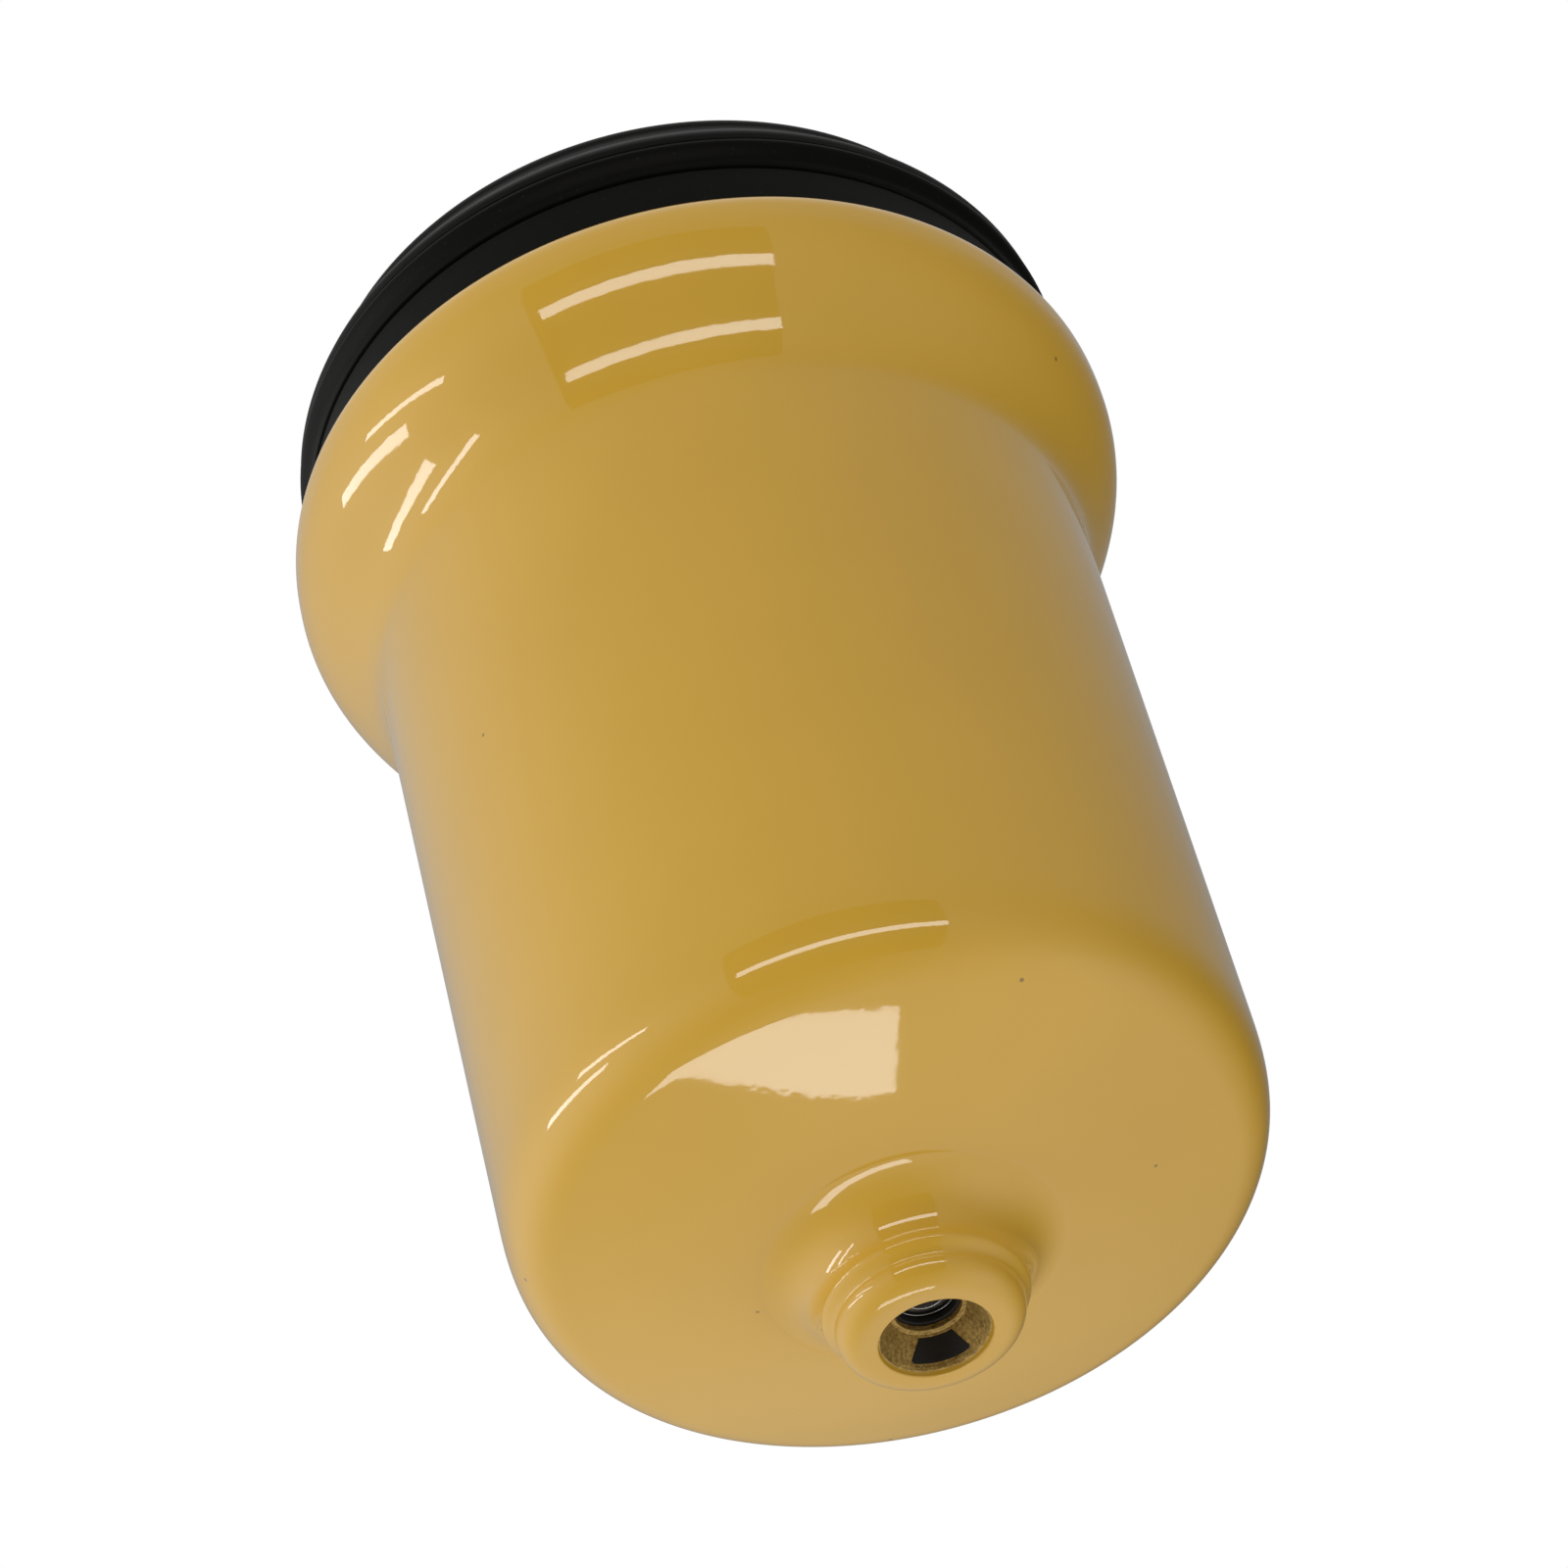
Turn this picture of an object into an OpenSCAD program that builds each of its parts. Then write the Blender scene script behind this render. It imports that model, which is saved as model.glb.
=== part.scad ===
// Drop-in liquid canister: a painted steel can that hangs by its flared collar in a round well,
// with a spring-loaded outlet valve in its neck boss and a black quarter-turn lid on top.
// +Z is up, from the outlet to the lid. The origin is on the axis, at the shoulder where the
// straight wall ends and the collar begins.

/* [Can] */
// Radius of the straight wall
body_r = 45; // [43:0.5:47]
// Thickness of the drawn steel wall
wall = 1.6; // [1.2:0.1:2]
// Height from the outlet face up to the shoulder
shoulder_h = 113.5; // [100:1:140]
// How far the collar stands out from the wall
collar_out = 7.65; // [7.4:0.05:8]
// Height of the flare between wall and collar
flare_h = 20; // [19:0.5:21]
// Height of the dome's rounded corner
corner_h = 13; // [11:1:15]

/* [Outlet] */
// Radius of the outlet's mouth
mouth_r = 6.6; // [6.4:0.1:6.8]
// Radius of the throat behind the ledge
throat_r = 3.9; // [3.8:0.05:4]
// Width of the catch window at its foot
window_w = 7; // [6:0.2:7]
// Stroke of the valve poppet
poppet_stroke = 4; // [3.5:0.25:4]

/* [Lid] */
// Radius of the lid's skirt
skirt_r = 48.6; // [48.2:0.1:48.7]
// Radius of the lid's rim
rim_r = 49.8; // [49.4:0.1:51]
// Radius of the raised crown of the lid
crown_r = 46; // [44.5:0.25:46.5]
// Radius of the plug cup
plug_r = 42.6; // [42:0.1:42.7]
// Number of bayonet lugs
lugs = 3; // [3:1:4]
// Rise of the lid over its quick turn
lid_rise = 3; // [2:0.5:3]

/* [Hidden] */
$fn = 96;
eps = 0.01;
gap = 0.1;
edge = 0.4;
face_z = -shoulder_h;

// The names that end in _h are heights above the outlet face.

// dome
boss_inner_h = 13;
corner_top_h = 30;
bore_r = body_r - wall;
crown_in_r = 17.8;
crown_in_h = 12.07;
crown_slope = 0.186;
corner_in_r = 33;
corner_from = 67.3;

// boss
rim_arc = [8, 3, 3];
step_in_r = 11;
step_out = 1.1;
step_rise = 2;
root_arc = [19.1, 5.2, 7];
root_end = 101;

// collar
lip_h = shoulder_h + flare_h;
lip_rise = 4.6;
opening_r = skirt_r + 0.5;
hem_t = 3.2;

// outlet sleeve
sleeve_r = 8.1;
sleeve_foot_h = 0.55;
sleeve_mouth_r = 6.35;
sleeve_top_h = 20.5;
ledge_h = 4.4;
ledge_r = 4.45;
seal_h = 5.3;
chamber_r = 6.5;
window_foot_h = 1.5;
window_top_h = 4.15;
window_top_w = 3.8;
window_back = 6.9;
window_front = 3.5;
pad_recess = 0.15;
recess_foot_h = 1;
recess_half = 34;
recess_in_r = 4;
recess_low_r = 6.45;
recess_top_r = 6.15;

// valve
seal_t = 1;
seal_in_r = 3.6;
seat_t = 0.45;
seat_in_r = 3.4;
cage_foot_h = seal_h + seal_t + seat_t + eps;
head_h = 7.25;
head_t = 1.25;
head_r = 5.3;
nose_r = 3;
nose_bore_r = 2.2;
nose_l = 0.9;
stem_r = 1.5;
cage_plate_t = 1.5;
cage_bore_r = 5.6;
cage_top_h = head_h + head_t + cage_plate_t + 3 * poppet_stroke;
stem_clip_h = cage_top_h + 0.2;
stem_groove_h = 0.5;

// nut and sieve
nut_h = 15.1;
nut_t = 4.6;
nut_r = 13.6;
sieve_foot_h = boss_inner_h + 1.15;
sieve_r = 15.4;
sieve_top_h = 36;
sieve_t = 0.7;

// bayonet ring in the collar
ring_foot_h = lip_h - 11;
groove_h = lip_h - 8.5;
lug_t = 3;
lug_w = 14;
lug_r = 45.4;
groove_r = lug_r + 0.4;
flange_h = groove_h + lug_t + lid_rise + 0.8;
ring_top_h = lip_h + 0.4;
ring_r = 48.2;
clip_r = 50.2;
clip_h = lip_h - 2.1;

// plate and plug
plug_foot_h = 114.6;
plug_floor_t = 2.6;
plug_wall = 2.4;
plug_flange_r = 46.4;
plate_top_h = 113.6;
plate_t = 8;
plate_foot_h = plate_top_h - plate_t;
groove_mid_h = plate_top_h - 3.6;
groove_depth = 3.8;
gasket_r = 1.9;
bolt_r = 3;
bolt_thread_r = 2.5;
vent_at = 24;
vent_stem_r = 1.2;

// lid
skirt_foot_h = ring_top_h + 0.3;
skirt_top_h = 147.1;
skirt_floor_h = skirt_foot_h + plug_wall + eps;
rim_h = 151.4;
spigot_r = 44.2;
tongue_r = 46;
cover_foot_h = rim_h + 0.25;
lid_top_h = 161;
crown_round = 2.2;
cover_t = 2.6;
foot_step = 0.6;
foot_in_r = 33.65;
foot_out_r = 38.35;
screw_count = 4;
screw_at = 44.6;
screw_r = 1.1;
screw_head_r = 1.7;
vent_disc_r = 3.15;

// points of a round arc, counted anticlockwise from +X
function arc(cx, cz, r, a0, a1, n = 12) =
    [for (i = [0:n]) let (a = a0 + (a1 - a0) * i / n) [cx + r * cos(a), cz + r * sin(a)]];

// a squarish oval, from its side towards its foot (dir = -1) or its top (dir = 1), up to the angle last
function squircle(cx, cz, rx, rz, p, dir, n = 14, last = 90) =
    [for (i = [0:n]) let (a = last * i / n)
        [cx + rx * pow(cos(a), 2 / p), cz + dir * rz * pow(sin(a), 2 / p)]];

// a soft step between two points that leaves and arrives upright
function soft_step(from, to, n = 12) =
    [for (i = [0:n]) let (t = i / n)
        [from[0] + (to[0] - from[0]) * (1 - cos(180 * t)) / 2, from[1] + (to[1] - from[1]) * t]];

function flip(list) = [for (i = [len(list) - 1:-1:0]) list[i]];

// all points but the last
function but_last(list) = [for (i = [0:len(list) - 2]) list[i]];

// radius of the flared collar at a height above the outlet face
function flare_r(h) = body_r + collar_out * (1 - cos(180 * (h - shoulder_h) / flare_h)) / 2;

// the dome's rounded corner and, inside it, the crown that curves gently up from the boss to it
function corner(inset) = flip(squircle(corner_in_r, corner_top_h, body_r - inset - corner_in_r,
    corner_h - inset, 3.1, -1, 14, corner_from));
function crown(inset) =
    let (to = corner(inset)[0], run = to[0] - crown_in_r, climb = to[1] - crown_in_h - inset,
        bend = (climb - crown_slope * run) / (run * run))
    [for (i = [0:8]) let (u = run * i / 8)
        [crown_in_r + u, crown_in_h + inset + crown_slope * u + bend * u * u]];
function dome(inset) = concat(but_last(crown(inset)), corner(inset));

// turns an outline drawn as [radius, height above the outlet face]
module turned(points) translate([0, 0, face_z]) rotate_extrude() polygon(points);

// a plain ring between two heights
module ring(r_out, r_in, h0, h1) turned([[r_in, h0], [r_out, h0], [r_out, h1], [r_in, h1]]);

// a plain disc or pin between two heights
module disc(r, h0, h1) translate([0, 0, face_z + h0]) cylinder(r = r, h = h1 - h0);

// repeats its children round the axis
module around(count, first = 0)
    for (i = [0:count - 1]) rotate([0, 0, first + 360 * i / count]) children();

module shell() {
    flare = soft_step([body_r, shoulder_h], [body_r + collar_out, lip_h]);
    lip = squircle(opening_r - 0.1, lip_h, body_r + collar_out - opening_r + 0.1, lip_rise, 3.5, 1);
    hem = [[opening_r, lip_h + 1], [opening_r, ring_top_h + gap],
        [flare_r(lip_h) - hem_t, ring_top_h + gap]];
    inside = [for (p = but_last(flare)) p - [wall, 0]];
    color("goldenrod") turned(concat(dome(0), flare, lip, hem, flip(inside), flip(dome(wall))));
}

// the turned bung that is welded into the dome and painted with it
module neck_boss() {
    chamfer = 0.15;
    seat_h = sleeve_foot_h - 0.05;
    rim = arc(rim_arc[0], rim_arc[1], rim_arc[2], -90, 0);
    step = soft_step([step_in_r, rim_arc[1]], [step_in_r + step_out, rim_arc[1] + step_rise], 6);
    root = arc(root_arc[0], root_arc[1], root_arc[2], 180, root_end);
    color("goldenrod") turned(concat([[mouth_r, chamfer], [mouth_r + chamfer, 0]], rim, step, root,
        [[crown_in_r - chamfer, boss_inner_h], [sleeve_r + gap, boss_inner_h],
         [sleeve_r + gap, seat_h], [mouth_r, seat_h]]));
}

// a prism of the window's outline that runs forward from back over depth; inset narrows it all round
module window_prism(back, depth, inset = 0) {
    foot = window_w / 2 - inset;
    top = window_top_w / 2 - inset;
    translate([0, back, face_z]) rotate([90, 0, 0]) linear_extrude(depth)
        polygon([[-foot, window_foot_h + inset], [foot, window_foot_h + inset],
            [top, window_top_h - inset], [-top, window_top_h - inset]]);
}

// brass guide sleeve with a tapered mouth, a ledge, a throat and the catch window
module outlet_sleeve() {
    color("darkkhaki") difference() {
        turned([[sleeve_mouth_r, sleeve_foot_h], [sleeve_r, sleeve_foot_h], [sleeve_r, sleeve_top_h],
            [chamber_r, sleeve_top_h], [chamber_r, seal_h], [throat_r, seal_h], [throat_r, ledge_h],
            [ledge_r, ledge_h]]);
        window_prism(window_back, window_back - window_front);
        rotate([0, 0, 90 - recess_half]) translate([0, 0, face_z])
            rotate_extrude(angle = 2 * recess_half)
                polygon([[recess_in_r, recess_foot_h], [recess_low_r, recess_foot_h],
                    [recess_top_r, window_foot_h + eps], [recess_in_r, window_foot_h + eps]]);
    }
}

// radius of the sleeve's tapered mouth at a height above the outlet face
function taper_r(h) =
    sleeve_mouth_r - (sleeve_mouth_r - ledge_r) * (h - sleeve_foot_h) / (ledge_h - sleeve_foot_h);

// black wear pad that fills the catch window and lies just below the surface of the taper
module window_pad() color("#141414") intersection() {
    window_prism(window_back - 0.02, window_back - window_front, 0.03);
    turned([[taper_r(recess_foot_h) + pad_recess, recess_foot_h], [sleeve_r, recess_foot_h],
        [sleeve_r, ledge_h], [taper_r(ledge_h) + pad_recess, ledge_h]]);
}

module port_seal() color("dimgray") ring(chamber_r - 0.05, seal_in_r, seal_h + eps, seal_h + seal_t);

module valve_seat() color("silver")
    ring(chamber_r - 0.05, seat_in_r, seal_h + seal_t + eps, seal_h + seal_t + seat_t);

// slotted cup that guides the poppet and holds the spring
module valve_cage() {
    slot = [1.6, 2, 4];
    color("whitesmoke") difference() {
        turned([[cage_bore_r, cage_foot_h], [chamber_r - 0.05, cage_foot_h],
            [chamber_r - 0.05, cage_top_h], [stem_r + 0.05, cage_top_h],
            [stem_r + 0.05, cage_top_h - cage_plate_t], [cage_bore_r, cage_top_h - cage_plate_t]]);
        around(4) translate([3, -slot[1] / 2, face_z + cage_top_h - cage_plate_t - 1]) cube(slot);
    }
}

// wire ring that keeps the cage in the sleeve
module cage_clip() color("silver") ring(8, chamber_r, sleeve_top_h + eps, sleeve_top_h + 0.9);

module lock_nut() {
    color("darkgoldenrod") translate([0, 0, face_z + nut_h]) difference() {
        cylinder(r = nut_r, h = nut_t, $fn = 6);
        translate([0, 0, -1]) cylinder(r = sleeve_r + 0.05, h = nut_t + 2);
    }
}

module nut_washer() color("firebrick")
    ring(12.5, sleeve_r + gap, boss_inner_h + eps, boss_inner_h + 1.1);

// stainless sieve cap over the valve, clamped under the nut
module strainer() {
    flange_t = 0.6;
    side_slot = [4, 1.6, 14];
    top_slot = [7, 1.6, 4];
    color("silver") difference() {
        turned([[sleeve_r + gap, sieve_foot_h], [sieve_r + flange_t, sieve_foot_h],
            [sieve_r + flange_t, sieve_foot_h + flange_t], [sieve_r, sieve_foot_h + flange_t],
            [sieve_r, sieve_top_h], [0, sieve_top_h], [0, sieve_top_h - sieve_t],
            [sieve_r - sieve_t, sieve_top_h - sieve_t], [sieve_r - sieve_t, sieve_foot_h + 0.8],
            [sleeve_r + gap, sieve_foot_h + 0.8]]);
        around(16) translate([sieve_r - 2.4, -side_slot[1] / 2, face_z + 18]) cube(side_slot);
        around(8) translate([4.5, -top_slot[1] / 2, face_z + sieve_top_h - 2]) cube(top_slot);
    }
}

// bayonet ring in the collar: groove below, flange with entry gaps above
module neck_ring() {
    in_r = plug_r + 0.4;
    gate_w = lug_w + 1;
    gate_in_r = in_r - 3;
    color("darkslategray") difference() {
        turned([[in_r, ring_foot_h], [flare_r(ring_foot_h) - wall - 0.03, ring_foot_h],
            [ring_r, ring_foot_h + 3], [ring_r, ring_top_h], [in_r, ring_top_h], [in_r, flange_h],
            [groove_r, flange_h], [groove_r, groove_h - 0.3], [in_r, groove_h - 0.3]]);
        around(lugs, 60) translate([gate_in_r, -gate_w / 2, face_z + groove_h])
            cube([groove_r - gate_in_r, gate_w, gate_w]);
    }
}

module ring_clip() color("silver") ring(clip_r, ring_r + 0.05, clip_h, clip_h + 1);

// the valve's moving part: hollow nose, head and stem
module poppet() {
    head_top = head_h + head_t;
    color("silver") difference() {
        union() {
            turned([[0, head_h - nose_l], [nose_r, head_h - nose_l], [nose_r, head_h], [head_r, head_h],
                [head_r, head_top], [0, head_top]]);
            disc(stem_r, head_top - eps, cage_top_h + 1.6);
        }
        disc(nose_bore_r, head_h - 2, head_h + 0.3);
        ring(4, stem_r - 0.3, stem_clip_h, stem_clip_h + stem_groove_h);
    }
}

module poppet_seal() color("dimgray") ring(head_r - 0.2, nose_r + 0.05, cage_foot_h, head_h - eps);

module stem_clip() color("silver")
    ring(3, stem_r - 0.25, stem_clip_h + 0.05, stem_clip_h + stem_groove_h - 0.05);

// one ring of points of a swept round wire, centred on [radius, height] and turned round the axis
function wire_ring(c, turn, r, sides) = [for (j = [0:sides - 1])
    let (a = 360 * j / sides, out = c[0] + r * cos(a))
        [out * cos(turn), out * sin(turn), c[1] + r * sin(a)]];

module valve_spring() {
    turns = 5;
    steps = 18;
    sides = 6;
    coil_r = 3.2;
    wire = 0.35;
    foot = head_h + head_t + wire + 0.05;
    rise = cage_top_h - cage_plate_t - wire - 0.05 - foot;
    n = turns * steps;
    points = [for (i = [0:n])
        each wire_ring([coil_r, face_z + foot + rise * i / n], 360 * i / steps, wire, sides)];
    skin = [for (i = [0:n - 1], j = [0:sides - 1]) let (a = i * sides, k = (j + 1) % sides)
        [a + j, a + sides + j, a + sides + k, a + k]];
    ends = [[for (j = [0:sides - 1]) j], [for (j = [sides - 1:-1:0]) n * sides + j]];
    color("lightsteelblue") polyhedron(points = points, faces = concat(skin, ends));
}

// swivelling plate under the plug: it rises with the lid but doesn't turn on the seal
module seal_plate() {
    out_r = bore_r - 0.4;
    in_r = bolt_r + 0.05;
    groove_half = gasket_r + gap;
    bevel_r = 38;
    bevel_h = 2.4;
    pocket = [30, 36];
    pocket_floor = 3;
    web_t = 2;
    color("gray") difference() {
        turned([[in_r, plate_foot_h], [bevel_r, plate_foot_h], [out_r, plate_foot_h + bevel_h],
            [out_r, groove_mid_h - groove_half], [bore_r - groove_depth, groove_mid_h - groove_half],
            [bore_r - groove_depth, groove_mid_h + groove_half], [out_r, groove_mid_h + groove_half],
            [out_r, plate_top_h], [in_r, plate_top_h]]);
        difference() {
            ring(pocket[1], pocket[0], plate_foot_h + pocket_floor, plate_top_h + 1);
            around(6) translate([0, -web_t / 2, face_z]) cube([body_r, web_t, plate_top_h + 2]);
        }
        translate([vent_at, 0, face_z + plate_foot_h - 1])
            cylinder(r = vent_stem_r + 0.4, h = plate_t + 2);
    }
}

module lid_gasket() color("dimgray") translate([0, 0, face_z + groove_mid_h])
    rotate_extrude() translate([bore_r - gasket_r - 0.05, 0]) circle(r = gasket_r - 0.15, $fn = 32);

// flat scraper ring on the plate's foot
module plate_wiper() color("dimgray") ring(37.6, 33, plate_foot_h - 1.2, plate_foot_h - eps);

// umbrella valve that lets air in as the liquid runs out
module vent_valve() {
    cap_r = 4.6;
    barb_r = 1.9;
    color("firebrick") translate([vent_at, 0, face_z + plate_foot_h]) rotate_extrude($fn = 48)
        polygon([[0, -1.6], [3, -1.1], [cap_r, -0.15], [cap_r, -0.02], [vent_stem_r, -0.02],
            [vent_stem_r, plate_t + 0.1], [barb_r, plate_t + 0.1], [vent_stem_r, plate_t + 0.9],
            [0, plate_t + 0.9]]);
}

module thrust_washer() color("white") ring(9, bolt_r + gap, plate_top_h + eps, plug_foot_h - eps);

// the cup that drops into the can's mouth and carries the lugs
module plug_cup() {
    in_r = plug_r - plug_wall;
    floor_h = plug_foot_h + plug_floor_t;
    rib = [plug_r - 7, 1.6, 6];
    hub_r = 8;
    vent_hole_r = 2.6;
    color("darkslategray") difference() {
        union() {
            turned([[bolt_thread_r + 0.05, plug_foot_h], [plug_r - 1, plug_foot_h],
                [plug_r, plug_foot_h + 1], [plug_r, skirt_foot_h], [plug_flange_r, skirt_foot_h],
                [plug_flange_r, skirt_foot_h + plug_wall], [in_r, skirt_foot_h + plug_wall],
                [in_r, floor_h], [bolt_thread_r + 0.05, floor_h]]);
            around(lugs) translate([0, 0, face_z + groove_h]) intersection() {
                rotate_extrude()
                    polygon([[plug_r - 1, 0], [lug_r, 0], [lug_r, lug_t], [plug_r - 1, lug_t]]);
                translate([0, -lug_w / 2, -1]) cube([lug_r + 1, lug_w, lug_t + 2]);
            }
            around(8) translate([6, -rib[1] / 2, face_z + plug_foot_h + 1]) cube(rib);
        }
        around(screw_count, 45) translate([screw_at, 0, face_z + skirt_foot_h - 1]) {
            cylinder(r = screw_r, h = 6, $fn = 24);
            cylinder(r = screw_head_r + 0.05, h = 2.2, $fn = 24);
        }
        disc(hub_r, floor_h, floor_h + rib[2]);
        translate([vent_at, 0, face_z + plug_foot_h - 1])
            cylinder(r = vent_hole_r, h = plug_floor_t + rib[2], $fn = 32);
    }
}

// shoulder bolt that carries the plate, and its nut inside the cup
module swivel_bolt() {
    head_foot = plate_foot_h - 2.8;
    tip = plug_foot_h + 6.4;
    color("silver") turned([[0, head_foot], [5, head_foot], [5.5, head_foot + 0.5],
        [5.5, plate_foot_h - gap], [bolt_r, plate_foot_h - gap], [bolt_r, plug_foot_h - eps],
        [bolt_thread_r, plug_foot_h - eps], [bolt_thread_r, tip], [0, tip]]);
}

module swivel_nut() {
    foot = plug_foot_h + plug_floor_t + eps;
    nut = [5, 3.2];
    color("silver") translate([0, 0, face_z + foot]) difference() {
        cylinder(r = nut[0], h = nut[1], $fn = 6);
        translate([0, 0, -1]) cylinder(r = bolt_thread_r + 0.05, h = nut[1] + 2, $fn = 32);
    }
}

// outer black ring of the lid, which stands up out of the collar
module lid_skirt() {
    in_r = plug_r - 2.2;
    color("#1a1a18") difference() {
        turned([[in_r, skirt_floor_h], [plug_flange_r + gap, skirt_floor_h],
            [plug_flange_r + gap, skirt_foot_h], [skirt_r - edge, skirt_foot_h],
            [skirt_r, skirt_foot_h + edge], [skirt_r, skirt_top_h], [tongue_r, skirt_top_h],
            [tongue_r, rim_h], [spigot_r, rim_h], [spigot_r, skirt_floor_h + 7],
            [in_r, skirt_floor_h + 4]]);
        around(screw_count, 45) translate([screw_at, 0, face_z + skirt_floor_h - 1])
            cylinder(r = screw_r, h = 7, $fn = 24);
    }
}

// soft band that flares out under the rim
module grip_ring() {
    foot = skirt_top_h + 0.2;
    top = rim_h - eps;
    flare = soft_step([skirt_r + 0.2, foot + 0.3], [rim_r, top - edge], 6);
    in_r = tongue_r + 0.05;
    color("#20201d") turned(concat([[in_r, foot], [skirt_r, foot]], flare,
        [[rim_r - 0.3, top], [in_r, top]]));
}

// raised crowned cover of the lid, flat on top where it can stand on a table
module lid_cover() {
    top_arc = arc(crown_r - crown_round, lid_top_h - crown_round, crown_round, 0, 90, 8);
    side = soft_step([rim_r - 0.3, cover_foot_h + 0.8], [crown_r, lid_top_h - crown_round], 8);
    tongue_l = 3.4;
    ceiling_r = 36;
    tongue = [[spigot_r - gap, cover_foot_h], [spigot_r - gap, cover_foot_h - tongue_l],
        [spigot_r - 1.8, cover_foot_h - tongue_l], [spigot_r - 2.2, cover_foot_h + 2.4]];
    color("#1a1a18") difference() {
        turned(concat([[0, lid_top_h]], flip(top_arc), flip(but_last(side)),
            [[rim_r - 0.3, cover_foot_h]], tongue,
            [[ceiling_r, lid_top_h - cover_t], [0, lid_top_h - cover_t]]));
        ring(foot_out_r + 0.05, foot_in_r - 0.05, lid_top_h - 1, lid_top_h + 1);
        translate([vent_at, 0, face_z + lid_top_h - 4])
            cylinder(r = vent_disc_r + 0.05, h = 6, $fn = 48);
    }
}

module lid_screws() {
    head_t = 1.15;
    length = 6.3;
    color("silver") around(screw_count, 45) translate([screw_at, 0, face_z + skirt_foot_h]) {
        cylinder(r = screw_head_r, h = head_t, $fn = 24);
        cylinder(r = screw_r - 0.05, h = length, $fn = 24);
    }
}

// porous disc that keeps dust out of the vent
module vent_disc() color("gray") translate([vent_at, 0, face_z + lid_top_h - 2.4])
    cylinder(r = vent_disc_r, h = 2, $fn = 48);

// rubber ring let into the cover
module foot_ring() {
    foot = lid_top_h - 0.95;
    top = lid_top_h + foot_step;
    color("#262624") turned([[foot_in_r, foot], [foot_out_r, foot], [foot_out_r, top - edge],
        [foot_out_r - 0.75, top], [foot_in_r + 0.75, top], [foot_in_r, top - edge]]);
}

shell();
neck_boss();
outlet_sleeve();
window_pad();
port_seal();
valve_seat();
valve_cage();
cage_clip();
lock_nut();
nut_washer();
strainer();
neck_ring();
ring_clip();
poppet();
poppet_seal();
stem_clip();
valve_spring();
seal_plate();
lid_gasket();
plate_wiper();
vent_valve();
thrust_washer();
plug_cup();
swivel_bolt();
swivel_nut();
lid_skirt();
grip_ring();
lid_cover();
lid_screws();
vent_disc();
foot_ring();
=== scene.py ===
import math

import bmesh
import bpy
from mathutils import Matrix, Vector, noise


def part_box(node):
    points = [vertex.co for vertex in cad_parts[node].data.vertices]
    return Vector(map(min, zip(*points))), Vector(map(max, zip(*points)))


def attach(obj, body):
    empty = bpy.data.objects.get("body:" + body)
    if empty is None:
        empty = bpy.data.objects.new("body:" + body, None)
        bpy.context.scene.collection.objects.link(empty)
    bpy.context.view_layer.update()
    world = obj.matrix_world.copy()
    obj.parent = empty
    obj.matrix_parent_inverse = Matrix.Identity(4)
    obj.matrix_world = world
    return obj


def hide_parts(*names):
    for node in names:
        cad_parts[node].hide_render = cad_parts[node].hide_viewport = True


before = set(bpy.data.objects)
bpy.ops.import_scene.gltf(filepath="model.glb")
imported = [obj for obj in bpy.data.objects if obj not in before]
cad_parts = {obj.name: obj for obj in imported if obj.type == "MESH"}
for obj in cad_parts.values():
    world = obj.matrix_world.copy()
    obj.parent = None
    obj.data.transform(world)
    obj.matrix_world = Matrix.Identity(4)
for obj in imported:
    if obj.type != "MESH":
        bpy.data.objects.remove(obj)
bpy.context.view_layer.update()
mm = 0.001


# ---------------------------------------------------------------------------
# The camera. It stands low in front of the can and looks up at the outlet,
# with the lid away from it, and it is rolled a little to its left.
outlet_face_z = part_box("neck_boss")[0].z
look_up = math.radians(43.25)
camera_roll = math.radians(15.76)
lens_away = 681.3 * mm
lens_aside = 17.04 * mm
lens_below = 61.97 * mm

forward = Vector((0, math.cos(look_up), math.sin(look_up)))
level_down = forward.cross(Vector((1, 0, 0)))
right = Vector((1, 0, 0)) * math.cos(camera_roll) + level_down * math.sin(camera_roll)
down = level_down * math.cos(camera_roll) - Vector((1, 0, 0)) * math.sin(camera_roll)

camera = bpy.data.objects.new("camera", bpy.data.cameras.new("camera"))
camera.data.lens = 139.97
camera.data.sensor_width = 36
camera.data.clip_start = 0.02
camera.location = (Vector((0, 0, outlet_face_z)) - right * lens_aside - down * lens_below
                   - forward * lens_away)
camera.rotation_euler = Matrix((right, -down, -forward)).transposed().to_euler()
bpy.context.scene.collection.objects.link(camera)
bpy.context.scene.camera = camera


# ---------------------------------------------------------------------------
# The can. It is deep drawn from steel sheet, its collar is spun out and hemmed,
# the turned outlet bung is welded into the dome, and all is dipped in mustard
# enamel. Heights in outlines are above foot, the outlet's face.
foot = outlet_face_z
sheet = 1.6 * mm
rim_r = 11 * mm
rim_round = 3 * mm
neck_r = 12.1 * mm
neck_h = 5.1 * mm
root_round = 7 * mm
root_h = 5.2 * mm
root_end = 101
crown_foot_r = 17.8 * mm
crown_foot_h = 12.07 * mm
corner_r = 33 * mm
corner_h = 30 * mm
corner_drop = 13 * mm
corner_power = 3.1
corner_last = 67.3
wall_r = 45 * mm
flare_low = 113.5 * mm
flare_high = 133.5 * mm
collar_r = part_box("shell")[1].x
lip_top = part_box("shell")[1].z
hem_r = 49 * mm
hem_power = 3.5
hem_bore_r = 49.1 * mm
hem_bore_low = 134 * mm
hem_bore_high = 137.6 * mm
hem_root_r = 51 * mm
bung_bore_r = 8.2 * mm
bung_top_r = 17.6 * mm
bung_top = 13 * mm
bung_face_r = 6.45 * mm
bung_face_h = 0.55 * mm
mouth_lip_r = 6.85 * mm
mouth_round = 0.25 * mm
crease = math.radians(38)


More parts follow.
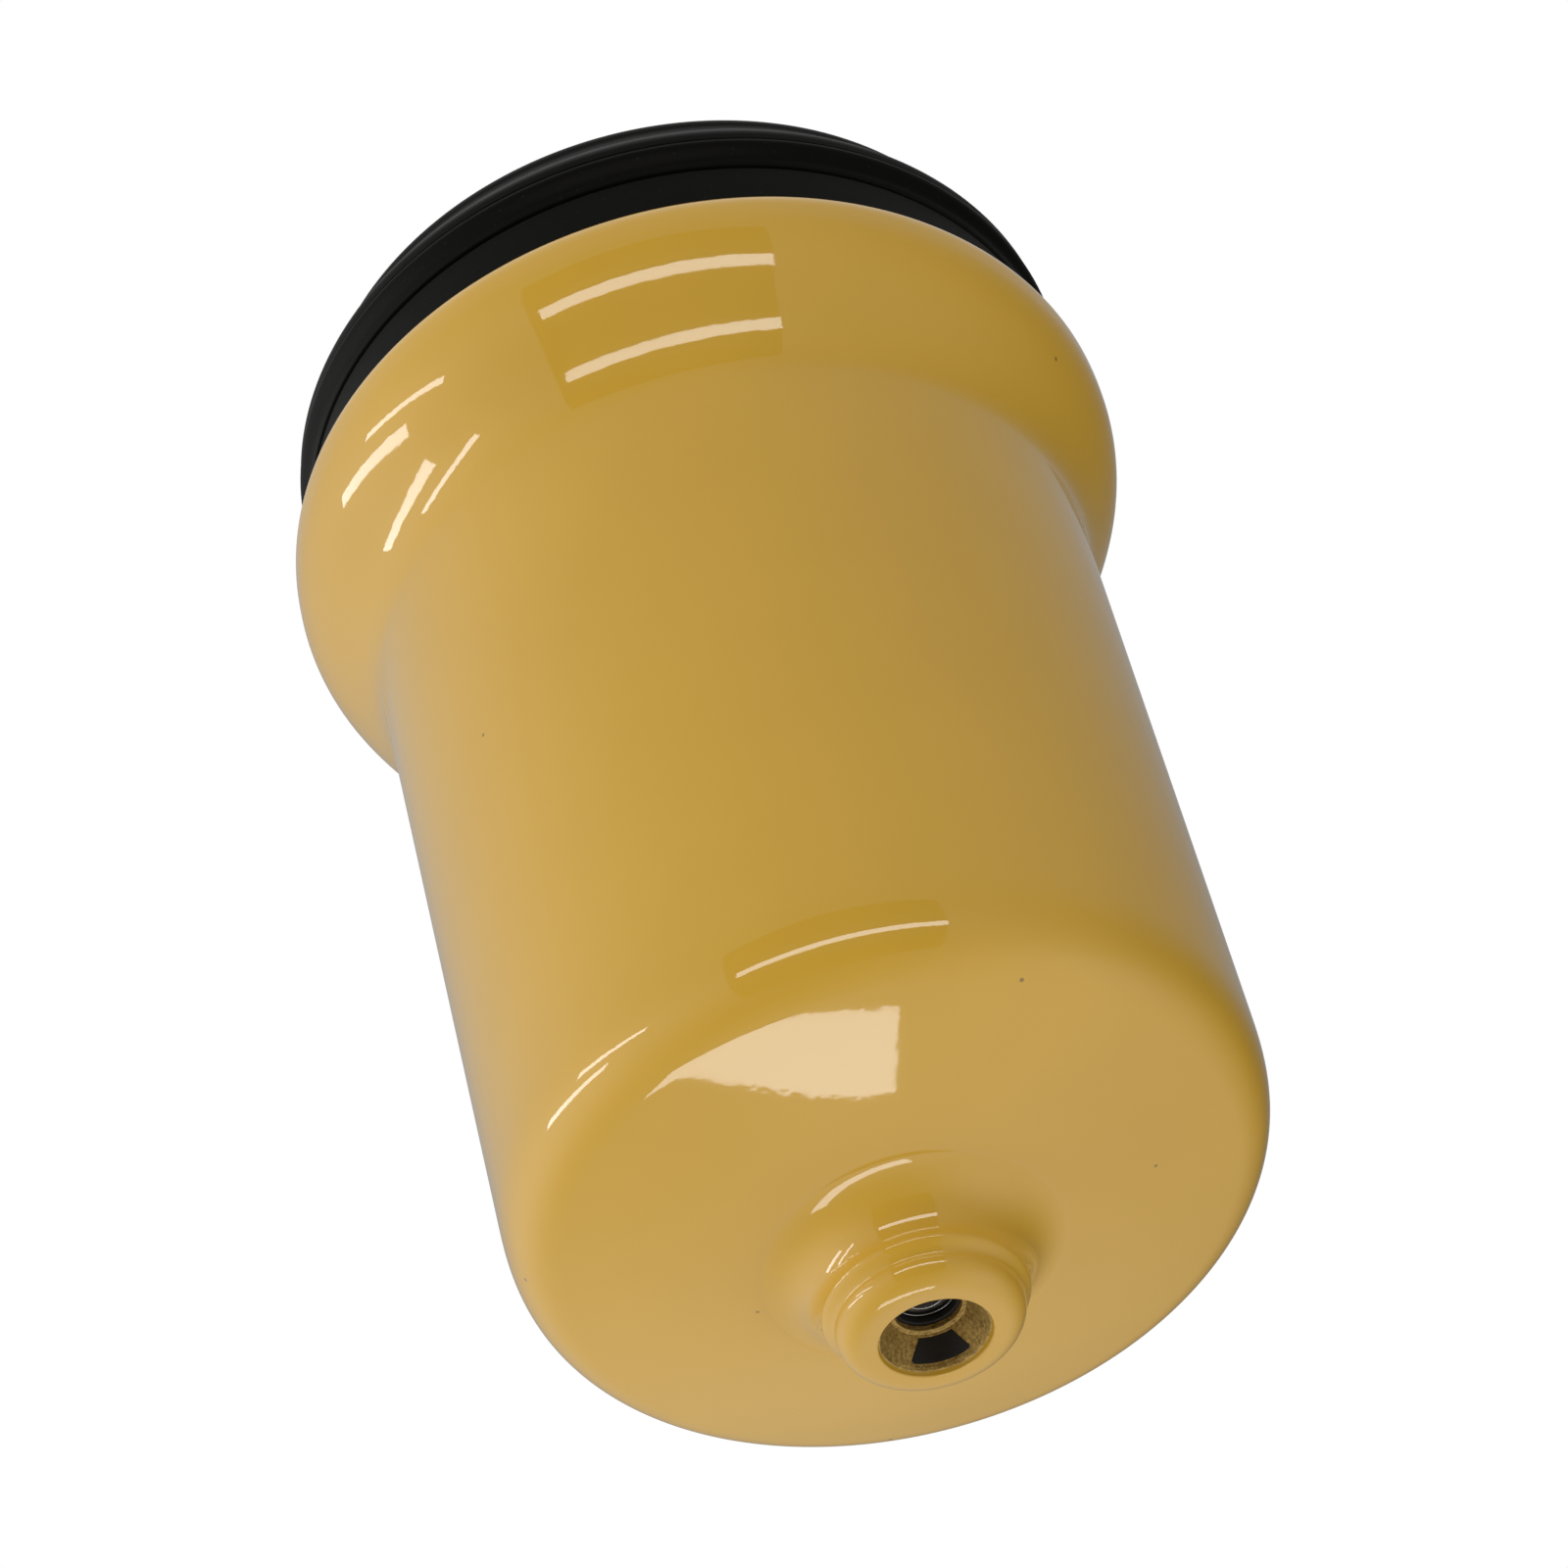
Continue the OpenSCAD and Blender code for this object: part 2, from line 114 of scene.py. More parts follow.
def arc(centre_r, centre_h, radius, start, end, count=24):
    """Points of a round arc as (radius, height above the outlet face)."""
    turns = [math.radians(start + (end - start) * i / count) for i in range(count + 1)]
    return [(centre_r + radius * math.cos(a), centre_h + radius * math.sin(a)) for a in turns]


def squarish_corner(centre_r, centre_h, across, rise, power, count=36, last=90):
    """A squarish oval from its side towards its crown, up to the angle last.
    A negative rise goes down."""
    turns = [math.radians(last * i / count) for i in range(count + 1)]
    return [(centre_r + across * math.cos(a) ** (2 / power),
             centre_h + rise * math.sin(a) ** (2 / power)) for a in turns]


def smooth_step(start, end, count=24):
    """A soft step between two (radius, height) points that leaves and arrives upright."""
    steps = [i / count for i in range(count + 1)]
    return [(start[0] + (end[0] - start[0]) * (1 - math.cos(math.pi * t)) / 2,
             start[1] + (end[1] - start[1]) * t) for t in steps]


def gentle_climb(start, end, slope=0.186, count=24):
    """The dome's crown: it leaves start at the given slope and steepens on its way to end."""
    run = end[0] - start[0]
    bend = (end[1] - start[1] - slope * run) / run ** 2
    steps = [run * i / count for i in range(count + 1)]
    return [(start[0] + u, start[1] + slope * u + bend * u ** 2) for u in steps]


def turned(name, outline, around=160, wave=0.0):
    """Spins a closed outline of (radius, height above the outlet face) round the axis.
    wave is how far the surface wanders from a true turning."""
    mesh = bmesh.new()
    rings = []
    for radius, height in outline:
        if radius < 1e-7:
            rings.append([mesh.verts.new((0, 0, foot + height))] * around)
            continue
        ring = []
        for i in range(around):
            a = 2 * math.pi * i / around
            spot = Vector((radius * math.cos(a), radius * math.sin(a), foot + height))
            out = Vector((math.cos(a), math.sin(a), 0))
            drift = noise.noise(Vector((spot.x, spot.y, spot.z * 0.45)) * 34) * wave
            ring.append(mesh.verts.new(spot + out * drift))
        rings.append(ring)
    for low, high in zip(rings, rings[1:] + rings[:1]):
        for i in range(around):
            k = (i + 1) % around
            corners = [low[i], low[k], high[k], high[i]]
            corners = [v for n, v in enumerate(corners) if v not in corners[:n]]
            if len(corners) > 2:
                mesh.faces.new(corners)
    bmesh.ops.recalc_face_normals(mesh, faces=mesh.faces)
    data = bpy.data.meshes.new(name)
    mesh.to_mesh(data)
    mesh.free()
    data.shade_smooth()
    data.set_sharp_from_angle(angle=crease)
    piece = bpy.data.objects.new(name, data)
    bpy.context.scene.collection.objects.link(piece)
    return piece


def can_outline():
    """The can's section: up the outside from the mouth, over the lip, and down the inside."""
    mouth = arc(mouth_lip_r, mouth_round, mouth_round, 180, 270, 8)
    rim = arc(rim_r - rim_round, rim_round, rim_round, -90, 0)
    neck = smooth_step((rim_r, rim_round), (neck_r, neck_h))
    root = arc(neck_r + root_round, root_h, root_round, 180, root_end, 36)
    corner = squarish_corner(corner_r, corner_h, wall_r - corner_r, -corner_drop,
                             corner_power, 48, corner_last)[::-1]
    crown = gentle_climb((crown_foot_r, crown_foot_h), corner[0])
    wall = [(wall_r, corner_h + (flare_low - corner_h) * i / 24) for i in range(1, 24)]
    flare = smooth_step((wall_r, flare_low), (collar_r, flare_high), 40)
    hem = squarish_corner(hem_r, flare_high, collar_r - hem_r, lip_top - foot - flare_high, hem_power)
    hem_inside = [(hem_bore_r, hem_bore_high), (hem_bore_r, hem_bore_low), (hem_root_r, hem_bore_low)]
    flare_inside = smooth_step((collar_r - sheet, flare_high), (wall_r - sheet, flare_low), 24)
    corner_inside = squarish_corner(corner_r, corner_h, wall_r - corner_r - sheet, sheet - corner_drop,
                                    corner_power, 24, corner_last)
    crown_inside = gentle_climb((crown_foot_r, crown_foot_h + sheet), corner_inside[-1])[::-1]
    bung_inside = [(bung_top_r, bung_top), (bung_bore_r, bung_top), (bung_bore_r, bung_face_h),
                   (bung_face_r, bung_face_h)]
    return (mouth + rim + neck[1:] + root + crown + corner[1:] + wall + flare + hem[1:]
            + hem_inside + flare_inside + corner_inside + crown_inside[1:] + bung_inside)


def enamel():
    """Mustard gloss enamel: an even colour that drifts a little, a faint orange peel,
    dust nibs, and wiped patches where the gloss is softer."""
    material = bpy.data.materials.new("mustard_enamel")
    material.use_nodes = True
    tree = material.node_tree
    link = tree.links.new
    shader = tree.nodes["Principled BSDF"]
    shader.inputs["Coat Weight"].default_value = 1.0
    shader.inputs["Coat IOR"].default_value = 1.5
    shader.inputs["IOR"].default_value = 1.45
    shader.inputs["Specular IOR Level"].default_value = 0.1
    place = tree.nodes.new("ShaderNodeTexCoord")

    drift = tree.nodes.new("ShaderNodeTexNoise")
    drift.inputs["Scale"].default_value = 22
    drift.inputs["Detail"].default_value = 4
    link(place.outputs["Object"], drift.inputs["Vector"])
    shade = tree.nodes.new("ShaderNodeValToRGB")
    shade.color_ramp.elements[0].position = 0.3
    shade.color_ramp.elements[0].color = (0.61, 0.352, 0.036, 1)
    shade.color_ramp.elements[1].position = 0.7
    shade.color_ramp.elements[1].color = (0.655, 0.383, 0.042, 1)
    link(drift.outputs["Fac"], shade.inputs["Fac"])

    nibs = tree.nodes.new("ShaderNodeTexVoronoi")
    nibs.inputs["Scale"].default_value = 60
    link(place.outputs["Object"], nibs.inputs["Vector"])
    nib_mask = tree.nodes.new("ShaderNodeMapRange")
    nib_mask.inputs["From Min"].default_value = 0.012
    nib_mask.inputs["From Max"].default_value = 0.022
    nib_mask.inputs["To Min"].default_value = 0.75
    nib_mask.inputs["To Max"].default_value = 0.0
    link(nibs.outputs["Distance"], nib_mask.inputs["Value"])
    specked = tree.nodes.new("ShaderNodeMix")
    specked.data_type = "RGBA"
    specked.inputs["B"].default_value = (0.16, 0.1, 0.04, 1)
    link(nib_mask.outputs["Result"], specked.inputs["Factor"])
    link(shade.outputs["Color"], specked.inputs["A"])
    link(specked.outputs["Result"], shader.inputs["Base Color"])

    wiped = tree.nodes.new("ShaderNodeTexNoise")
    wiped.inputs["Scale"].default_value = 70
    wiped.inputs["Detail"].default_value = 6
    link(place.outputs["Object"], wiped.inputs["Vector"])
    gloss = tree.nodes.new("ShaderNodeMapRange")
    gloss.inputs["To Min"].default_value = 0.02
    gloss.inputs["To Max"].default_value = 0.06
    link(wiped.outputs["Fac"], gloss.inputs["Value"])
    link(gloss.outputs["Result"], shader.inputs["Coat Roughness"])
    base_gloss = tree.nodes.new("ShaderNodeMapRange")
    base_gloss.inputs["To Min"].default_value = 0.28
    base_gloss.inputs["To Max"].default_value = 0.42
    link(wiped.outputs["Fac"], base_gloss.inputs["Value"])
    link(base_gloss.outputs["Result"], shader.inputs["Roughness"])

    peel = tree.nodes.new("ShaderNodeTexNoise")
    peel.inputs["Scale"].default_value = 420
    peel.inputs["Detail"].default_value = 2
    link(place.outputs["Object"], peel.inputs["Vector"])
    bump = tree.nodes.new("ShaderNodeBump")
    bump.inputs["Strength"].default_value = 0.05
    bump.inputs["Distance"].default_value = 0.0002
    link(peel.outputs["Fac"], bump.inputs["Height"])
    link(bump.outputs["Normal"], shader.inputs["Coat Normal"])
    return material


can_skin = turned("can_skin", can_outline(), around=256, wave=0.03 * mm)
can_skin.data.materials.append(enamel())
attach(can_skin, "can")
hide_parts("shell", "neck_boss")


# ---------------------------------------------------------------------------
# The outlet sleeve. It is turned from brass bar with a tapered mouth, a ledge
# and a throat, has a catch window milled through its far side, and is pulled
# up into the bung by a nut inside the can.
sleeve_r = 8.1 * mm
sleeve_low = 0.56 * mm
sleeve_top = 20.5 * mm
mouth_r = 6.35 * mm
ledge_r = 4.45 * mm
ledge_h = 4.4 * mm
throat_r = 3.9 * mm
chamber_r = 6.5 * mm
chamber_low = 5.3 * mm
window_foot = 1.5 * mm
window_foot_half = 3.5 * mm
window_top = 4.15 * mm
window_top_half = 1.9 * mm
window_back = 6.9 * mm
recess_low = 1 * mm
recess_r = 6.45 * mm
recess_top_r = 6.15 * mm


def rounded(corners, radius, count=5):
    """A closed outline with each corner eased by the given radius."""
    points = []
    for i, here in enumerate(corners):
        here = Vector(here)
        before = Vector(corners[i - 1]) - here
        after = Vector(corners[(i + 1) % len(corners)]) - here
        if here.x < 1e-7:
            points.append(tuple(here))
            continue
        ease = min(radius, before.length * 0.45, after.length * 0.45)
        start = here + before.normalized() * ease
        end = here + after.normalized() * ease
        for k in range(count + 1):
            t = k / count
            spot = start * (1 - t) ** 2 + here * 2 * t * (1 - t) + end * t ** 2
            points.append((spot.x, spot.y))
    return points


def swept(name, rings):
    """A closed solid through a row of equal rings of points."""
    mesh = bmesh.new()
    loops = [[mesh.verts.new(spot) for spot in ring] for ring in rings]
    for one, two in zip(loops, loops[1:]):
        for i in range(len(one)):
            k = (i + 1) % len(one)
            mesh.faces.new((one[i], one[k], two[k], two[i]))
    mesh.faces.new(loops[0])
    mesh.faces.new(loops[-1])
    bmesh.ops.recalc_face_normals(mesh, faces=mesh.faces)
    data = bpy.data.meshes.new(name)
    mesh.to_mesh(data)
    mesh.free()
    tool = bpy.data.objects.new(name, data)
    bpy.context.scene.collection.objects.link(tool)
    return tool


def window_cutter(name):
    """The catch window goes out through the wall; it is wider at its foot than under the ledge."""
    corners = [(-window_foot_half, window_foot), (window_foot_half, window_foot),
               (window_top_half, window_top), (-window_top_half, window_top)]
    inside_mouth = 3.5 * mm
    return swept(name, [[(x, y, foot + h) for x, h in corners] for y in (inside_mouth, window_back)])


def recess_cutter(name, half=math.radians(34), steps=24):
    """The shallow recess below the window, turned half to each side of its middle."""
    inner_r = 4 * mm
    recess_top = window_foot + 0.02 * mm
    outline = [(inner_r, recess_low), (recess_r, recess_low), (recess_top_r, recess_top),
               (inner_r, recess_top)]
    turns = [math.pi / 2 + half * (2 * i / steps - 1) for i in range(steps + 1)]
    rings = [[(r * math.cos(a), r * math.sin(a), foot + h) for r, h in outline] for a in turns]
    return swept(name, rings)


def mill_away(piece, tool):
    """Cuts the tool's space out of the piece and clears the tool away."""
    cut = piece.modifiers.new("cut", "BOOLEAN")
    cut.object = tool
    cut.operation = "DIFFERENCE"
    cut.solver = "EXACT"
    scene_now = bpy.context.evaluated_depsgraph_get()
    result = bpy.data.meshes.new_from_object(piece.evaluated_get(scene_now))
    piece.modifiers.clear()
    piece.data = result
    result.set_sharp_from_angle(angle=crease)
    bpy.data.objects.remove(tool)


def dull_brass():
    """Brass that was turned and left bare: fine rings from the tool, olive and brown
    stains, and a rough skin."""
    material = bpy.data.materials.new("dull_brass")
    material.use_nodes = True
    tree = material.node_tree
    link = tree.links.new
    shader = tree.nodes["Principled BSDF"]
    shader.inputs["Metallic"].default_value = 0.6
    place = tree.nodes.new("ShaderNodeTexCoord")
    stain = tree.nodes.new("ShaderNodeTexNoise")
    stain.inputs["Scale"].default_value = 2200
    stain.inputs["Detail"].default_value = 8
    stain.inputs["Roughness"].default_value = 0.7
    link(place.outputs["Object"], stain.inputs["Vector"])
    tint = tree.nodes.new("ShaderNodeValToRGB")
    tint.color_ramp.elements[0].position = 0.35
    tint.color_ramp.elements[0].color = (0.19, 0.105, 0.02, 1)
    tint.color_ramp.elements[1].position = 0.68
    tint.color_ramp.elements[1].color = (0.64, 0.44, 0.13, 1)
    link(stain.outputs["Fac"], tint.inputs["Fac"])
    link(tint.outputs["Color"], shader.inputs["Base Color"])
    dull = tree.nodes.new("ShaderNodeMapRange")
    dull.inputs["To Min"].default_value = 0.36
    dull.inputs["To Max"].default_value = 0.62
    link(stain.outputs["Fac"], dull.inputs["Value"])
    link(dull.outputs["Result"], shader.inputs["Roughness"])
    stretch = tree.nodes.new("ShaderNodeMapping")
    stretch.inputs["Scale"].default_value = (60, 60, 9000)
    link(place.outputs["Object"], stretch.inputs["Vector"])
    tool_rings = tree.nodes.new("ShaderNodeTexNoise")
    tool_rings.inputs["Scale"].default_value = 1
    link(stretch.outputs["Vector"], tool_rings.inputs["Vector"])
    height = tree.nodes.new("ShaderNodeMath")
    height.operation = "ADD"
    link(stain.outputs["Fac"], height.inputs[0])
    link(tool_rings.outputs["Fac"], height.inputs[1])
    bump = tree.nodes.new("ShaderNodeBump")
    bump.inputs["Strength"].default_value = 0.35
    bump.inputs["Distance"].default_value = 0.0001
    link(height.outputs["Value"], bump.inputs["Height"])
    link(bump.outputs["Normal"], shader.inputs["Normal"])
    return material


sleeve_outline = rounded([(mouth_r, sleeve_low), (sleeve_r, sleeve_low), (sleeve_r, sleeve_top),
                          (chamber_r, sleeve_top), (chamber_r, chamber_low),
                          (throat_r, chamber_low), (throat_r, ledge_h), (ledge_r, ledge_h)], 0.15 * mm)
sleeve = turned("turned_sleeve", sleeve_outline, around=128)
mill_away(sleeve, window_cutter("window_cutter"))
mill_away(sleeve, recess_cutter("recess_cutter"))
brass = dull_brass()
sleeve.data.materials.clear()
sleeve.data.materials.append(brass)
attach(sleeve, "can")
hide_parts("outlet_sleeve")


# ---------------------------------------------------------------------------
# The wear pad. A block of black nylon pressed into the catch window from behind,
# where the dock's catch lands; it lies a hair below the brass. Its near-black also
# stands in for the shade deep in the window opening: painted shade.
pad_slack = 0.03 * mm
pad_recess = 0.15 * mm


def plain_plastic(name, dark, light, rough):
    """Moulded plastic with a fine matt grain and a slight drift in colour."""
    material = bpy.data.materials.new(name)
    material.use_nodes = True
    tree = material.node_tree
    link = tree.links.new
    shader = tree.nodes["Principled BSDF"]
    shader.inputs["Specular IOR Level"].default_value = 0.35
    place = tree.nodes.new("ShaderNodeTexCoord")
    grain = tree.nodes.new("ShaderNodeTexNoise")
    grain.inputs["Scale"].default_value = 1800
    grain.inputs["Detail"].default_value = 4
    link(place.outputs["Object"], grain.inputs["Vector"])
    tint = tree.nodes.new("ShaderNodeValToRGB")
    tint.color_ramp.elements[0].color = (*dark, 1)
    tint.color_ramp.elements[1].color = (*light, 1)
    link(grain.outputs["Fac"], tint.inputs["Fac"])
    link(tint.outputs["Color"], shader.inputs["Base Color"])
    matt = tree.nodes.new("ShaderNodeMapRange")
    matt.inputs["To Min"].default_value = rough - 0.1
    matt.inputs["To Max"].default_value = rough + 0.1
    link(grain.outputs["Fac"], matt.inputs["Value"])
    link(matt.outputs["Result"], shader.inputs["Roughness"])
    bump = tree.nodes.new("ShaderNodeBump")
    bump.inputs["Strength"].default_value = 0.2
    bump.inputs["Distance"].default_value = 0.00005
    link(grain.outputs["Fac"], bump.inputs["Height"])
    link(bump.outputs["Normal"], shader.inputs["Normal"])
    return material


def pad_ring(height, count=12):
    """The pad's outline at one height. Its front follows the taper of the mouth, a hair below it."""
    taper = (height - sleeve_low) / (ledge_h - sleeve_low)
    front_r = mouth_r - (mouth_r - ledge_r) * taper + pad_recess
    slope = (height - window_foot) / (window_top - window_foot)
    half = window_foot_half + (window_top_half - window_foot_half) * slope - pad_slack
    across = [half * (2 * i / count - 1) for i in range(count + 1)]
    front = [(x, math.sqrt(front_r ** 2 - x ** 2), foot + height) for x in across]
    back = window_back - 0.02 * mm
    return front + [(x, back, foot + height) for x in across[::-1]]


pad_low = window_foot + pad_slack
pad_high = window_top - pad_slack
window_shade_pad = swept("window_shade_pad", [pad_ring(pad_low + (pad_high - pad_low) * i / 8) for i in range(9)])
eased = window_shade_pad.modifiers.new("eased_edges", "BEVEL")
eased.width = 0.06 * mm
eased.segments = 2
eased.limit_method = "ANGLE"
# painted shade: these near-black tones make the pad read as the dark depth of the window
nylon = plain_plastic("black_nylon_and_shade", (0.004, 0.004, 0.004), (0.011, 0.011, 0.01), 0.5)
window_shade_pad.data.materials.append(nylon)
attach(window_shade_pad, "can")
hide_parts("window_pad")


# ---------------------------------------------------------------------------
# The throat seal. A square-cut ring of black nitrile rubber that lies in the
# chamber behind the throat and grips the spigot when the can is docked.
def black_rubber():
    """Moulded black rubber with a dusty bloom."""
    material = bpy.data.materials.new("black_rubber")
    material.use_nodes = True
    tree = material.node_tree
    link = tree.links.new
    shader = tree.nodes["Principled BSDF"]
    shader.inputs["Specular IOR Level"].default_value = 0.3
    place = tree.nodes.new("ShaderNodeTexCoord")
    bloom = tree.nodes.new("ShaderNodeTexNoise")
    bloom.inputs["Scale"].default_value = 600
    bloom.inputs["Detail"].default_value = 5
    link(place.outputs["Object"], bloom.inputs["Vector"])
    tint = tree.nodes.new("ShaderNodeValToRGB")
    tint.color_ramp.elements[0].color = (0.006, 0.006, 0.005, 1)
    tint.color_ramp.elements[1].color = (0.03, 0.03, 0.028, 1)
    link(bloom.outputs["Fac"], tint.inputs["Fac"])
    link(tint.outputs["Color"], shader.inputs["Base Color"])
    dull = tree.nodes.new("ShaderNodeMapRange")
    dull.inputs["To Min"].default_value = 0.45
    dull.inputs["To Max"].default_value = 0.7
    link(bloom.outputs["Fac"], dull.inputs["Value"])
    link(dull.outputs["Result"], shader.inputs["Roughness"])
    return material


def square_ring(inner_r, low, high, ease):
    """The section of a square-cut ring that fits the chamber, with its edges eased."""
    ring_slack = 0.06 * mm
    outer_r = chamber_r - ring_slack
    return rounded([(inner_r, low), (outer_r, low), (outer_r, high), (inner_r, high)], ease)


rubber = black_rubber()
throat_seal = turned("throat_seal", square_ring(3.6 * mm, 5.32 * mm, 6.29 * mm, 0.25 * mm), around=96)
throat_seal.data.materials.append(rubber)
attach(throat_seal, "can")
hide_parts("port_seal")


# ---------------------------------------------------------------------------
# The valve seat and the poppet. Both are turned from stainless bar. The seat
# is a thin polished washer; the poppet has a hollow nose that the dock's pin
# pushes, and a spring behind it shuts it against the seat.
def shade_darkened_steel():
    """Turned and polished stainless steel with soft stains; its base is kept dark as painted shade."""
    material = bpy.data.materials.new("shade_darkened_steel")
    material.use_nodes = True
    tree = material.node_tree
    link = tree.links.new
    shader = tree.nodes["Principled BSDF"]
    shader.inputs["Metallic"].default_value = 1.0
    place = tree.nodes.new("ShaderNodeTexCoord")
    cloud = tree.nodes.new("ShaderNodeTexNoise")
    cloud.inputs["Scale"].default_value = 260
    cloud.inputs["Detail"].default_value = 5
    link(place.outputs["Object"], cloud.inputs["Vector"])
    # painted shade: both ends of this tint are kept dark because the seat and poppet sit in the shade
    # deep in the port
    tint = tree.nodes.new("ShaderNodeValToRGB")
    tint.color_ramp.elements[0].color = (0.2, 0.2, 0.195, 1)
    tint.color_ramp.elements[1].color = (0.38, 0.375, 0.36, 1)
    link(cloud.outputs["Fac"], tint.inputs["Fac"])
    link(tint.outputs["Color"], shader.inputs["Base Color"])
    polish = tree.nodes.new("ShaderNodeMapRange")
    polish.inputs["To Min"].default_value = 0.16
    polish.inputs["To Max"].default_value = 0.32
    link(cloud.outputs["Fac"], polish.inputs["Value"])
    link(polish.outputs["Result"], shader.inputs["Roughness"])
    return material


steel = shade_darkened_steel()
seat = turned("polished_seat", square_ring(3.4 * mm, 6.33 * mm, 6.74 * mm, 0.14 * mm), around=96)
seat.data.materials.append(steel)
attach(seat, "can")
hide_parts("valve_seat")

nose_r = 3 * mm
nose_low = 6.35 * mm
hollow_foot_r = 2.25 * mm
hollow_top_r = 2.1 * mm
hollow_top = 7.55 * mm
disc_r = 5.3 * mm
disc_low = 7.25 * mm
disc_high = 8.5 * mm
stem_r = 1.5 * mm
stem_top = 23.6 * mm
groove_r = 1.2 * mm
groove_low = 22.2 * mm
groove_high = 22.7 * mm
nose_outline = [(0, hollow_top), (hollow_top_r, hollow_top), (hollow_foot_r, nose_low),
                (nose_r, nose_low), (nose_r, disc_low), (disc_r, disc_low), (disc_r, disc_high),
                (stem_r, disc_high), (stem_r, groove_low), (groove_r, groove_low),
                (groove_r, groove_high), (stem_r, groove_high), (stem_r, stem_top), (0, stem_top)]
nose = turned("poppet_body", rounded(nose_outline, 0.12 * mm), around=96)
nose.data.materials.append(steel)
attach(nose, "valve")
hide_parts("poppet")


# ---------------------------------------------------------------------------
# The inside of the valve. The cage is white acetal, the nut is brass, and the
# clips, spring and sieve are stainless; the sieve keeps grit off the seat.
def refinish(material, *names):
    """Gives frame parts whose shape is already right a proper finish."""
    for name in names:
        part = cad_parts[name].data
        part.materials.clear()
        part.materials.append(material)


acetal = plain_plastic("white_acetal", (0.62, 0.62, 0.58), (0.74, 0.74, 0.7), 0.4)
silicone = plain_plastic("red_silicone", (0.2, 0.012, 0.008), (0.3, 0.02, 0.012), 0.5)
refinish(acetal, "valve_cage", "thrust_washer")
refinish(silicone, "nut_washer", "vent_valve")
refinish(brass, "lock_nut")
refinish(rubber, "poppet_seal", "lid_gasket", "plate_wiper")
refinish(steel, "cage_clip", "stem_clip", "valve_spring", "strainer", "ring_clip", "swivel_bolt",
         "swivel_nut", "lid_screws")


# ---------------------------------------------------------------------------
# The bayonet ring and the plug under the lid. They are moulded in black nylon;
# the grey plate swivels under the plug so that its gasket is not dragged round.
grey = plain_plastic("grey_nylon", (0.07, 0.07, 0.072), (0.11, 0.11, 0.11), 0.45)
refinish(nylon, "neck_ring", "plug_cup")
refinish(grey, "seal_plate", "vent_disc")


# ---------------------------------------------------------------------------
# The skirt of the lid. A ring moulded in satin black plastic, screwed down on
# the plug; it stands up out of the collar with a hair gap round it.
def satin_black():
    """Satin black moulding: a spark-eroded grain, pale flecks of filler, a slight olive
    cast and softly varying sheen."""
    material = bpy.data.materials.new("satin_black")
    material.use_nodes = True
    tree = material.node_tree
    link = tree.links.new
    shader = tree.nodes["Principled BSDF"]
    shader.inputs["Specular IOR Level"].default_value = 0.07
    place = tree.nodes.new("ShaderNodeTexCoord")
    flecks = tree.nodes.new("ShaderNodeTexVoronoi")
    flecks.inputs["Scale"].default_value = 700
    link(place.outputs["Object"], flecks.inputs["Vector"])
    fleck_mask = tree.nodes.new("ShaderNodeMapRange")
    fleck_mask.inputs["From Min"].default_value = 0.07
    fleck_mask.inputs["From Max"].default_value = 0.13
    fleck_mask.inputs["To Min"].default_value = 1.0
    fleck_mask.inputs["To Max"].default_value = 0.0
    link(flecks.outputs["Distance"], fleck_mask.inputs["Value"])
    cloud = tree.nodes.new("ShaderNodeTexNoise")
    cloud.inputs["Scale"].default_value = 45
    cloud.inputs["Detail"].default_value = 5
    link(place.outputs["Object"], cloud.inputs["Vector"])
    tint = tree.nodes.new("ShaderNodeValToRGB")
    tint.color_ramp.elements[0].color = (0.0012, 0.0013, 0.0007, 1)
    tint.color_ramp.elements[1].color = (0.0024, 0.0026, 0.0017, 1)
    link(cloud.outputs["Fac"], tint.inputs["Fac"])
    specked = tree.nodes.new("ShaderNodeMix")
    specked.data_type = "RGBA"
    specked.inputs["B"].default_value = (0.008, 0.0085, 0.006, 1)
    link(fleck_mask.outputs["Result"], specked.inputs["Factor"])
    link(tint.outputs["Color"], specked.inputs["A"])
    link(specked.outputs["Result"], shader.inputs["Base Color"])
    sheen = tree.nodes.new("ShaderNodeMapRange")
    sheen.inputs["To Min"].default_value = 0.36
    sheen.inputs["To Max"].default_value = 0.52
    link(cloud.outputs["Fac"], sheen.inputs["Value"])
    link(sheen.outputs["Result"], shader.inputs["Roughness"])
    grain = tree.nodes.new("ShaderNodeTexNoise")
    grain.inputs["Scale"].default_value = 2600
    grain.inputs["Detail"].default_value = 3
    link(place.outputs["Object"], grain.inputs["Vector"])
    bump = tree.nodes.new("ShaderNodeBump")
    bump.inputs["Strength"].default_value = 0.25
    bump.inputs["Distance"].default_value = 0.00006
    link(grain.outputs["Fac"], bump.inputs["Height"])
    link(bump.outputs["Normal"], shader.inputs["Normal"])
    return material


black = satin_black()
skirt_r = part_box("lid_skirt")[1].x
skirt_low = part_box("lid_skirt")[0].z - foot
skirt_high = 147.1 * mm
skirt_bore_r = 40.4 * mm
skirt_floor_low = 136.8 * mm
skirt_floor_high = 140.8 * mm
plug_fit_r = 46.5 * mm
upstand_r = 46 * mm
upstand_bore_r = 44.2 * mm
upstand_top = 151.4 * mm
upstand_bore_low = 143.8 * mm
skirt_outline = rounded([(skirt_bore_r, skirt_floor_low), (plug_fit_r, skirt_floor_low),
                         (plug_fit_r, skirt_low), (skirt_r, skirt_low), (skirt_r, skirt_high),
                         (upstand_r, skirt_high), (upstand_r, upstand_top),
                         (upstand_bore_r, upstand_top), (upstand_bore_r, upstand_bore_low),
                         (skirt_bore_r, skirt_floor_high)], 0.3 * mm)
skirt = turned("skirt_ring", skirt_outline, around=224)
skirt.data.materials.append(black)
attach(skirt, "lid")
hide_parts("lid_skirt")


